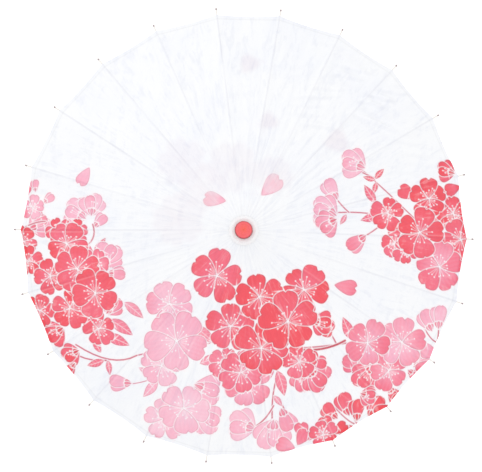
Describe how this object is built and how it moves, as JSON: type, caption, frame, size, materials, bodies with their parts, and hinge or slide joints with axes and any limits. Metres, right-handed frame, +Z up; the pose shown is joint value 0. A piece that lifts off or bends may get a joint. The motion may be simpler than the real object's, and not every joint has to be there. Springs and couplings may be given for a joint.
{
  "type": "oil paper umbrella",
  "caption": "Open oil paper parasol: shallow cone of printed white paper on split bamboo ribs, folding on a slotted hub and a sliding runner over a turned wooden shaft.",
  "frame": {"origin": "centre of the grip's flat lower end, on the shaft's axis", "axes": "+Z up along the shaft to the finial; rib 1 points along +X"},
  "size_m": [0.8216, 0.8136, 0.5533],
  "materials": {
    "turned_wood": "turned pale hardwood, waxed",
    "split_bamboo": "split bamboo, long fibre grain",
    "red_lacquer": "turned wood under glossy coral-red lacquer",
    "oiled_paper": "white oiled paper collar",
    "printed_canopy": "thin white oiled paper with a coral blossom print",
    "thread": "twisted cotton thread",
    "steel": "plain wire",
    "spring_steel": "flat spring steel"
  },
  "bodies": {
    "shaft_assembly": {"handle_grip": "turned_wood", "shaft": "turned_wood", "top_hub": "turned_wood", "finial": "red_lacquer", "top_cap": "oiled_paper", "canopy": "printed_canopy", "hub_pin": "steel", "catch_pin": "steel", "hub_thread": "thread", "joint_thread": "thread", "edge_thread": "thread"},
    "runner_assembly": {"runner": "turned_wood", "runner_thread": "thread"},
    "catch": {"catch": "spring_steel"},
    "rib_01": {"rib_01": "split_bamboo"},
    "stretcher_01": {"stretcher_01": "split_bamboo"},
    "rib_02": {"rib_02": "split_bamboo"},
    "stretcher_02": {"stretcher_02": "split_bamboo"},
    "rib_03": {"rib_03": "split_bamboo"},
    "stretcher_03": {"stretcher_03": "split_bamboo"},
    "rib_04": {"rib_04": "split_bamboo"},
    "stretcher_04": {"stretcher_04": "split_bamboo"},
    "rib_05": {"rib_05": "split_bamboo"},
    "stretcher_05": {"stretcher_05": "split_bamboo"},
    "rib_06": {"rib_06": "split_bamboo"},
    "stretcher_06": {"stretcher_06": "split_bamboo"},
    "rib_07": {"rib_07": "split_bamboo"},
    "stretcher_07": {"stretcher_07": "split_bamboo"},
    "rib_08": {"rib_08": "split_bamboo"},
    "stretcher_08": {"stretcher_08": "split_bamboo"},
    "rib_09": {"rib_09": "split_bamboo"},
    "stretcher_09": {"stretcher_09": "split_bamboo"},
    "rib_10": {"rib_10": "split_bamboo"},
    "stretcher_10": {"stretcher_10": "split_bamboo"},
    "rib_11": {"rib_11": "split_bamboo"},
    "stretcher_11": {"stretcher_11": "split_bamboo"},
    "rib_12": {"rib_12": "split_bamboo"},
    "stretcher_12": {"stretcher_12": "split_bamboo"},
    "rib_13": {"rib_13": "split_bamboo"},
    "stretcher_13": {"stretcher_13": "split_bamboo"},
    "rib_14": {"rib_14": "split_bamboo"},
    "stretcher_14": {"stretcher_14": "split_bamboo"},
    "rib_15": {"rib_15": "split_bamboo"},
    "stretcher_15": {"stretcher_15": "split_bamboo"},
    "rib_16": {"rib_16": "split_bamboo"},
    "stretcher_16": {"stretcher_16": "split_bamboo"},
    "rib_17": {"rib_17": "split_bamboo"},
    "stretcher_17": {"stretcher_17": "split_bamboo"},
    "rib_18": {"rib_18": "split_bamboo"},
    "stretcher_18": {"stretcher_18": "split_bamboo"},
    "rib_19": {"rib_19": "split_bamboo"},
    "stretcher_19": {"stretcher_19": "split_bamboo"},
    "rib_20": {"rib_20": "split_bamboo"},
    "stretcher_20": {"stretcher_20": "split_bamboo"},
    "rib_21": {"rib_21": "split_bamboo"},
    "stretcher_21": {"stretcher_21": "split_bamboo"},
    "rib_22": {"rib_22": "split_bamboo"},
    "stretcher_22": {"stretcher_22": "split_bamboo"}
  },
  "joints": [
    {"name": "fold", "type": "hinge", "parent": "shaft_assembly", "child": "rib_01", "pos_m": [0.016, 0, 0.525], "axis": [0, 1, 0], "range_deg": [0, 65], "stiffness_Nm_per_rad": 0.4, "springref_deg": -34.38, "deforming": ["canopy", "joint_thread", "edge_thread", "catch"]},
    {"name": "stretcher_hinge_01", "type": "hinge", "parent": "rib_01", "child": "stretcher_01", "pos_m": [0.18289, 0, 0.45757], "axis": [0, 1, 0], "range_deg": [-130, 0]},
    {"name": "rib_hinge_02", "type": "hinge", "parent": "shaft_assembly", "child": "rib_02", "pos_m": [0.01535, 0.00451, 0.525], "axis": [-0.2817, 0.9595, 0], "range_deg": [0, 65]},
    {"name": "stretcher_hinge_02", "type": "hinge", "parent": "rib_02", "child": "stretcher_02", "pos_m": [0.17548, 0.05153, 0.45757], "axis": [-0.2817, 0.9595, 0], "range_deg": [-130, 0]},
    {"name": "rib_hinge_03", "type": "hinge", "parent": "shaft_assembly", "child": "rib_03", "pos_m": [0.01346, 0.00865, 0.525], "axis": [-0.5406, 0.8413, 0], "range_deg": [0, 65]},
    {"name": "stretcher_hinge_03", "type": "hinge", "parent": "rib_03", "child": "stretcher_03", "pos_m": [0.15386, 0.09888, 0.45757], "axis": [-0.5406, 0.8413, 0], "range_deg": [-130, 0]},
    {"name": "rib_hinge_04", "type": "hinge", "parent": "shaft_assembly", "child": "rib_04", "pos_m": [0.01048, 0.01209, 0.525], "axis": [-0.7557, 0.6549, 0], "range_deg": [0, 65]},
    {"name": "stretcher_hinge_04", "type": "hinge", "parent": "rib_04", "child": "stretcher_04", "pos_m": [0.11977, 0.13822, 0.45757], "axis": [-0.7557, 0.6549, 0], "range_deg": [-130, 0]},
    {"name": "rib_hinge_05", "type": "hinge", "parent": "shaft_assembly", "child": "rib_05", "pos_m": [0.00665, 0.01455, 0.525], "axis": [-0.9096, 0.4154, 0], "range_deg": [0, 65]},
    {"name": "stretcher_hinge_05", "type": "hinge", "parent": "rib_05", "child": "stretcher_05", "pos_m": [0.07598, 0.16637, 0.45757], "axis": [-0.9096, 0.4154, 0], "range_deg": [-130, 0]},
    {"name": "rib_hinge_06", "type": "hinge", "parent": "shaft_assembly", "child": "rib_06", "pos_m": [0.00228, 0.01584, 0.525], "axis": [-0.9898, 0.1423, 0], "range_deg": [0, 65]},
    {"name": "stretcher_hinge_06", "type": "hinge", "parent": "rib_06", "child": "stretcher_06", "pos_m": [0.02603, 0.18103, 0.45757], "axis": [-0.9898, 0.1423, 0], "range_deg": [-130, 0]},
    {"name": "rib_hinge_07", "type": "hinge", "parent": "shaft_assembly", "child": "rib_07", "pos_m": [-0.00228, 0.01584, 0.525], "axis": [-0.9898, -0.1423, 0], "range_deg": [0, 65]},
    {"name": "stretcher_hinge_07", "type": "hinge", "parent": "rib_07", "child": "stretcher_07", "pos_m": [-0.02603, 0.18103, 0.45757], "axis": [-0.9898, -0.1423, 0], "range_deg": [-130, 0]},
    {"name": "rib_hinge_08", "type": "hinge", "parent": "shaft_assembly", "child": "rib_08", "pos_m": [-0.00665, 0.01455, 0.525], "axis": [-0.9096, -0.4154, 0], "range_deg": [0, 65]},
    {"name": "stretcher_hinge_08", "type": "hinge", "parent": "rib_08", "child": "stretcher_08", "pos_m": [-0.07598, 0.16637, 0.45757], "axis": [-0.9096, -0.4154, 0], "range_deg": [-130, 0]},
    {"name": "rib_hinge_09", "type": "hinge", "parent": "shaft_assembly", "child": "rib_09", "pos_m": [-0.01048, 0.01209, 0.525], "axis": [-0.7557, -0.6549, 0], "range_deg": [0, 65]},
    {"name": "stretcher_hinge_09", "type": "hinge", "parent": "rib_09", "child": "stretcher_09", "pos_m": [-0.11977, 0.13822, 0.45757], "axis": [-0.7557, -0.6549, 0], "range_deg": [-130, 0]},
    {"name": "rib_hinge_10", "type": "hinge", "parent": "shaft_assembly", "child": "rib_10", "pos_m": [-0.01346, 0.00865, 0.525], "axis": [-0.5406, -0.8413, 0], "range_deg": [0, 65]},
    {"name": "stretcher_hinge_10", "type": "hinge", "parent": "rib_10", "child": "stretcher_10", "pos_m": [-0.15386, 0.09888, 0.45757], "axis": [-0.5406, -0.8413, 0], "range_deg": [-130, 0]},
    {"name": "rib_hinge_11", "type": "hinge", "parent": "shaft_assembly", "child": "rib_11", "pos_m": [-0.01535, 0.00451, 0.525], "axis": [-0.2817, -0.9595, 0], "range_deg": [0, 65]},
    {"name": "stretcher_hinge_11", "type": "hinge", "parent": "rib_11", "child": "stretcher_11", "pos_m": [-0.17548, 0.05153, 0.45757], "axis": [-0.2817, -0.9595, 0], "range_deg": [-130, 0]},
    {"name": "rib_hinge_12", "type": "hinge", "parent": "shaft_assembly", "child": "rib_12", "pos_m": [-0.016, 0, 0.525], "axis": [0, -1, 0], "range_deg": [0, 65]},
    {"name": "stretcher_hinge_12", "type": "hinge", "parent": "rib_12", "child": "stretcher_12", "pos_m": [-0.18289, 0, 0.45757], "axis": [0, -1, 0], "range_deg": [-130, 0]},
    {"name": "rib_hinge_13", "type": "hinge", "parent": "shaft_assembly", "child": "rib_13", "pos_m": [-0.01535, -0.00451, 0.525], "axis": [0.2817, -0.9595, 0], "range_deg": [0, 65]},
    {"name": "stretcher_hinge_13", "type": "hinge", "parent": "rib_13", "child": "stretcher_13", "pos_m": [-0.17548, -0.05153, 0.45757], "axis": [0.2817, -0.9595, 0], "range_deg": [-130, 0]},
    {"name": "rib_hinge_14", "type": "hinge", "parent": "shaft_assembly", "child": "rib_14", "pos_m": [-0.01346, -0.00865, 0.525], "axis": [0.5406, -0.8413, 0], "range_deg": [0, 65]},
    {"name": "stretcher_hinge_14", "type": "hinge", "parent": "rib_14", "child": "stretcher_14", "pos_m": [-0.15386, -0.09888, 0.45757], "axis": [0.5406, -0.8413, 0], "range_deg": [-130, 0]},
    {"name": "rib_hinge_15", "type": "hinge", "parent": "shaft_assembly", "child": "rib_15", "pos_m": [-0.01048, -0.01209, 0.525], "axis": [0.7557, -0.6549, 0], "range_deg": [0, 65]},
    {"name": "stretcher_hinge_15", "type": "hinge", "parent": "rib_15", "child": "stretcher_15", "pos_m": [-0.11977, -0.13822, 0.45757], "axis": [0.7557, -0.6549, 0], "range_deg": [-130, 0]},
    {"name": "rib_hinge_16", "type": "hinge", "parent": "shaft_assembly", "child": "rib_16", "pos_m": [-0.00665, -0.01455, 0.525], "axis": [0.9096, -0.4154, 0], "range_deg": [0, 65]},
    {"name": "stretcher_hinge_16", "type": "hinge", "parent": "rib_16", "child": "stretcher_16", "pos_m": [-0.07598, -0.16637, 0.45757], "axis": [0.9096, -0.4154, 0], "range_deg": [-130, 0]},
    {"name": "rib_hinge_17", "type": "hinge", "parent": "shaft_assembly", "child": "rib_17", "pos_m": [-0.00228, -0.01584, 0.525], "axis": [0.9898, -0.1423, 0], "range_deg": [0, 65]},
    {"name": "stretcher_hinge_17", "type": "hinge", "parent": "rib_17", "child": "stretcher_17", "pos_m": [-0.02603, -0.18103, 0.45757], "axis": [0.9898, -0.1423, 0], "range_deg": [-130, 0]},
    {"name": "rib_hinge_18", "type": "hinge", "parent": "shaft_assembly", "child": "rib_18", "pos_m": [0.00228, -0.01584, 0.525], "axis": [0.9898, 0.1423, 0], "range_deg": [0, 65]},
    {"name": "stretcher_hinge_18", "type": "hinge", "parent": "rib_18", "child": "stretcher_18", "pos_m": [0.02603, -0.18103, 0.45757], "axis": [0.9898, 0.1423, 0], "range_deg": [-130, 0]},
    {"name": "rib_hinge_19", "type": "hinge", "parent": "shaft_assembly", "child": "rib_19", "pos_m": [0.00665, -0.01455, 0.525], "axis": [0.9096, 0.4154, 0], "range_deg": [0, 65]},
    {"name": "stretcher_hinge_19", "type": "hinge", "parent": "rib_19", "child": "stretcher_19", "pos_m": [0.07598, -0.16637, 0.45757], "axis": [0.9096, 0.4154, 0], "range_deg": [-130, 0]},
    {"name": "rib_hinge_20", "type": "hinge", "parent": "shaft_assembly", "child": "rib_20", "pos_m": [0.01048, -0.01209, 0.525], "axis": [0.7557, 0.6549, 0], "range_deg": [0, 65]},
    {"name": "stretcher_hinge_20", "type": "hinge", "parent": "rib_20", "child": "stretcher_20", "pos_m": [0.11977, -0.13822, 0.45757], "axis": [0.7557, 0.6549, 0], "range_deg": [-130, 0]},
    {"name": "rib_hinge_21", "type": "hinge", "parent": "shaft_assembly", "child": "rib_21", "pos_m": [0.01346, -0.00865, 0.525], "axis": [0.5406, 0.8413, 0], "range_deg": [0, 65]},
    {"name": "stretcher_hinge_21", "type": "hinge", "parent": "rib_21", "child": "stretcher_21", "pos_m": [0.15386, -0.09888, 0.45757], "axis": [0.5406, 0.8413, 0], "range_deg": [-130, 0]},
    {"name": "rib_hinge_22", "type": "hinge", "parent": "shaft_assembly", "child": "rib_22", "pos_m": [0.01535, -0.00451, 0.525], "axis": [0.2817, 0.9595, 0], "range_deg": [0, 65]},
    {"name": "stretcher_hinge_22", "type": "hinge", "parent": "rib_22", "child": "stretcher_22", "pos_m": [0.17548, -0.05153, 0.45757], "axis": [0.2817, 0.9595, 0], "range_deg": [-130, 0]},
    {"name": "runner_hinge", "type": "hinge", "parent": "stretcher_01", "child": "runner_assembly", "pos_m": [0.016, 0, 0.39014], "axis": [0, 1, 0], "range_deg": [0, 65]},
    {"name": "catch_press", "type": "hinge", "parent": "shaft_assembly", "child": "catch", "pos_m": [0, 0, 0.32634], "axis": [-1, 0, 0], "range_deg": [0, 6.5], "stiffness_Nm_per_rad": 0.3, "springref_deg": -5.16}
  ],
  "couplings": [
    {"joint": "stretcher_hinge_01", "follows": "fold", "ratio": -2},
    {"joint": "rib_hinge_02", "follows": "fold", "ratio": 1},
    {"joint": "stretcher_hinge_02", "follows": "fold", "ratio": -2},
    {"joint": "rib_hinge_03", "follows": "fold", "ratio": 1},
    {"joint": "stretcher_hinge_03", "follows": "fold", "ratio": -2},
    {"joint": "rib_hinge_04", "follows": "fold", "ratio": 1},
    {"joint": "stretcher_hinge_04", "follows": "fold", "ratio": -2},
    {"joint": "rib_hinge_05", "follows": "fold", "ratio": 1},
    {"joint": "stretcher_hinge_05", "follows": "fold", "ratio": -2},
    {"joint": "rib_hinge_06", "follows": "fold", "ratio": 1},
    {"joint": "stretcher_hinge_06", "follows": "fold", "ratio": -2},
    {"joint": "rib_hinge_07", "follows": "fold", "ratio": 1},
    {"joint": "stretcher_hinge_07", "follows": "fold", "ratio": -2},
    {"joint": "rib_hinge_08", "follows": "fold", "ratio": 1},
    {"joint": "stretcher_hinge_08", "follows": "fold", "ratio": -2},
    {"joint": "rib_hinge_09", "follows": "fold", "ratio": 1},
    {"joint": "stretcher_hinge_09", "follows": "fold", "ratio": -2},
    {"joint": "rib_hinge_10", "follows": "fold", "ratio": 1},
    {"joint": "stretcher_hinge_10", "follows": "fold", "ratio": -2},
    {"joint": "rib_hinge_11", "follows": "fold", "ratio": 1},
    {"joint": "stretcher_hinge_11", "follows": "fold", "ratio": -2},
    {"joint": "rib_hinge_12", "follows": "fold", "ratio": 1},
    {"joint": "stretcher_hinge_12", "follows": "fold", "ratio": -2},
    {"joint": "rib_hinge_13", "follows": "fold", "ratio": 1},
    {"joint": "stretcher_hinge_13", "follows": "fold", "ratio": -2},
    {"joint": "rib_hinge_14", "follows": "fold", "ratio": 1},
    {"joint": "stretcher_hinge_14", "follows": "fold", "ratio": -2},
    {"joint": "rib_hinge_15", "follows": "fold", "ratio": 1},
    {"joint": "stretcher_hinge_15", "follows": "fold", "ratio": -2},
    {"joint": "rib_hinge_16", "follows": "fold", "ratio": 1},
    {"joint": "stretcher_hinge_16", "follows": "fold", "ratio": -2},
    {"joint": "rib_hinge_17", "follows": "fold", "ratio": 1},
    {"joint": "stretcher_hinge_17", "follows": "fold", "ratio": -2},
    {"joint": "rib_hinge_18", "follows": "fold", "ratio": 1},
    {"joint": "stretcher_hinge_18", "follows": "fold", "ratio": -2},
    {"joint": "rib_hinge_19", "follows": "fold", "ratio": 1},
    {"joint": "stretcher_hinge_19", "follows": "fold", "ratio": -2},
    {"joint": "rib_hinge_20", "follows": "fold", "ratio": 1},
    {"joint": "stretcher_hinge_20", "follows": "fold", "ratio": -2},
    {"joint": "rib_hinge_21", "follows": "fold", "ratio": 1},
    {"joint": "stretcher_hinge_21", "follows": "fold", "ratio": -2},
    {"joint": "rib_hinge_22", "follows": "fold", "ratio": 1},
    {"joint": "stretcher_hinge_22", "follows": "fold", "ratio": -2},
    {"joint": "runner_hinge", "follows": "fold", "ratio": 1}
  ]
}
